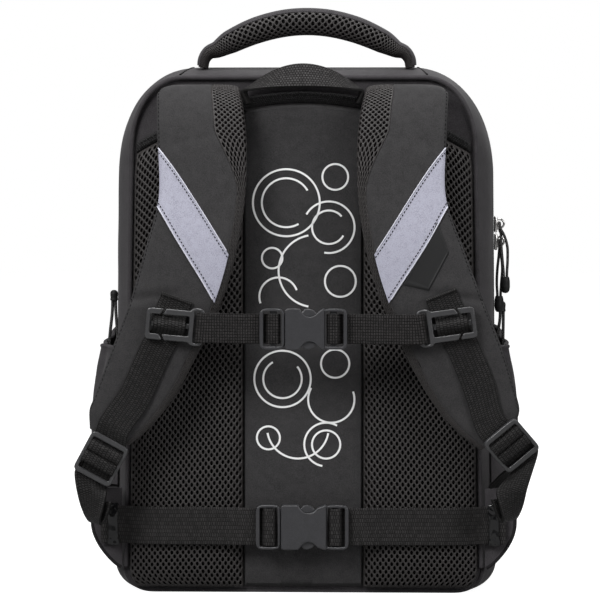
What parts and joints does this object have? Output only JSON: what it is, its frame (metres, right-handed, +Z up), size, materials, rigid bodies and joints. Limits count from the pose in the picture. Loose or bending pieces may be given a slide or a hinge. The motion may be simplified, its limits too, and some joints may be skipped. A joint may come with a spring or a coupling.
{
  "type": "backpack",
  "caption": "Black school backpack with padded mesh back, shoulder straps, sternum strap and hip belt.",
  "frame": {"origin": "centre of the overall box, on the floor under the base", "axes": "+Z up, -Y towards the wearer's back, +X to the right as seen from the wearer's side"},
  "size_m": [0.3566, 0.237, 0.4582],
  "materials": {
    "fabric": "matt fine weave",
    "mesh": "open air mesh over foam",
    "webbing": "ribbed webbing",
    "plastic": "satin",
    "rubber": "matt",
    "nickel": "polished",
    "reflective": "satin reflective"
  },
  "bodies": {
    "root": {"back_gusset": "fabric", "front_gusset": "fabric", "base": "fabric", "back_panel": "fabric", "front_panel": "fabric", "piping": "fabric", "center_pad": "fabric", "handle_facing": "fabric", "left_strap_face": "fabric", "left_wing": "fabric", "left_pocket": "fabric", "right_strap_face": "fabric", "right_wing": "fabric", "right_pocket": "fabric", "left_pad": "mesh", "right_pad": "mesh", "handle": "mesh", "left_strap_pad": "mesh", "right_strap_pad": "mesh", "zip": "webbing", "pad_binding": "webbing", "hang_loop": "webbing", "upper_pull_cord": "webbing", "lower_pull_cord": "webbing", "left_strap_web": "webbing", "left_adjuster_web": "webbing", "left_sternum_web": "webbing", "left_belt_web": "webbing", "left_pocket_cord": "webbing", "right_strap_web": "webbing", "right_adjuster_web": "webbing", "right_sternum_web": "webbing", "right_belt_web": "webbing", "right_pocket_cord": "webbing", "sternum_plug": "plastic", "sternum_socket": "plastic", "hip_plug": "plastic", "hip_socket": "plastic", "left_ladder_lock": "plastic", "left_clip": "plastic", "left_keeper": "plastic", "right_ladder_lock": "plastic", "right_clip": "plastic", "right_keeper": "plastic", "rubber_patch": "rubber", "upper_pull_grip": "rubber", "lower_pull_grip": "rubber", "left_cord_sleeve": "rubber", "right_cord_sleeve": "rubber", "upper_slider": "nickel", "lower_slider": "nickel", "left_reflector": "reflective", "right_reflector": "reflective"}
  },
  "joints": []
}
